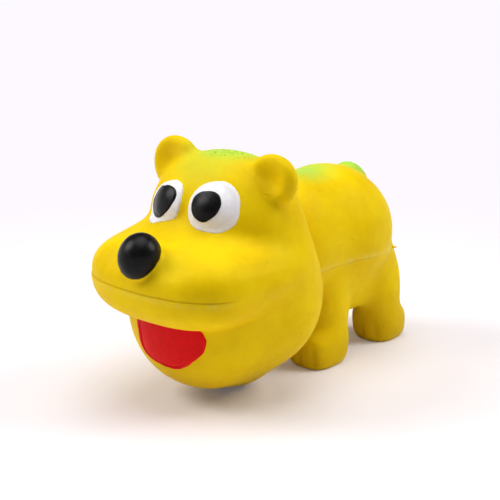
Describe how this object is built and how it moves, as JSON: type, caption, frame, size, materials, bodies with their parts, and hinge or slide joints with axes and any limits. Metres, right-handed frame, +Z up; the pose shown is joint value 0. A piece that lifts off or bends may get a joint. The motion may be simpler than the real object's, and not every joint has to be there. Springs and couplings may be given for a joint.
{
  "type": "squeaky dog toy",
  "caption": "Hollow yellow latex dog with a big round head, broad muzzle, painted eyes, nose and tongue and short legs. Squeezing its back presses a squeaker set in the belly.",
  "frame": {"origin": "centre of the bounding box on the floor plane that the soles and the chin stand on", "axes": "+Z up, +Y from the nose towards the tail, so the dog faces -Y and its left side is +X"},
  "size_m": [0.0614, 0.1219, 0.0775],
  "materials": {
    "latex_yellow": "matte satin",
    "latex_green": "matte satin",
    "paint_white": "satin paint",
    "paint_black": "glossy paint",
    "paint_red": "satin paint",
    "fibre_white": "loose fibre",
    "plastic_white": "smooth",
    "reed_plastic": "smooth film"
  },
  "bodies": {
    "body": {"head_skin": "latex_yellow", "muzzle_skin": "latex_yellow", "head_filling": "fibre_white", "eye_white_left": "paint_white", "eye_white_right": "paint_white", "pupil_left": "paint_black", "pupil_right": "paint_black", "nose": "paint_black", "tongue": "paint_red", "belly_skin": "latex_yellow", "front_left_leg": "latex_yellow", "front_right_leg": "latex_yellow", "rear_left_leg": "latex_yellow", "rear_right_leg": "latex_yellow", "torso_filling": "fibre_white", "squeaker_base": "plastic_white", "reed_tube": "plastic_white", "reed_wedge": "plastic_white"},
    "back": {"back_skin": "latex_yellow", "tail": "latex_green"},
    "squeaker_dome": {"squeaker_dome": "plastic_white"},
    "reed": {"reed": "reed_plastic"},
    "ear_left": {"ear_left": "latex_yellow"},
    "ear_right": {"ear_right": "latex_yellow"}
  },
  "joints": [
    {"name": "squeeze", "type": "slide", "parent": "body", "child": "back", "axis": [0, 0, -1], "range_m": [0, 0.01], "stiffness_N_per_m": 900, "deforming": ["back_skin", "torso_filling"]},
    {"name": "squeaker_press", "type": "slide", "parent": "body", "child": "squeaker_dome", "axis": [0, 0, -1], "range_m": [0, 0.0045], "deforming": ["squeaker_dome"]},
    {"name": "reed_flutter", "type": "hinge", "parent": "body", "child": "reed", "pos_m": [0, 0.03377, 0.02803], "axis": [-1, 0, 0], "range_deg": [-3, 8], "stiffness_Nm_per_rad": 0.00002},
    {"name": "ear_left_flex", "type": "hinge", "parent": "body", "child": "ear_left", "pos_m": [0.02131, -0.0177, 0.07004], "axis": [0.711, 0, -0.7032], "range_deg": [-25, 25], "stiffness_Nm_per_rad": 0.02},
    {"name": "ear_right_flex", "type": "hinge", "parent": "body", "child": "ear_right", "pos_m": [-0.02131, -0.0177, 0.07004], "axis": [0.711, 0, 0.7032], "range_deg": [-25, 25], "stiffness_Nm_per_rad": 0.02}
  ],
  "couplings": [
    {"joint": "squeaker_press", "follows": "squeeze", "ratio": 0.45}
  ]
}
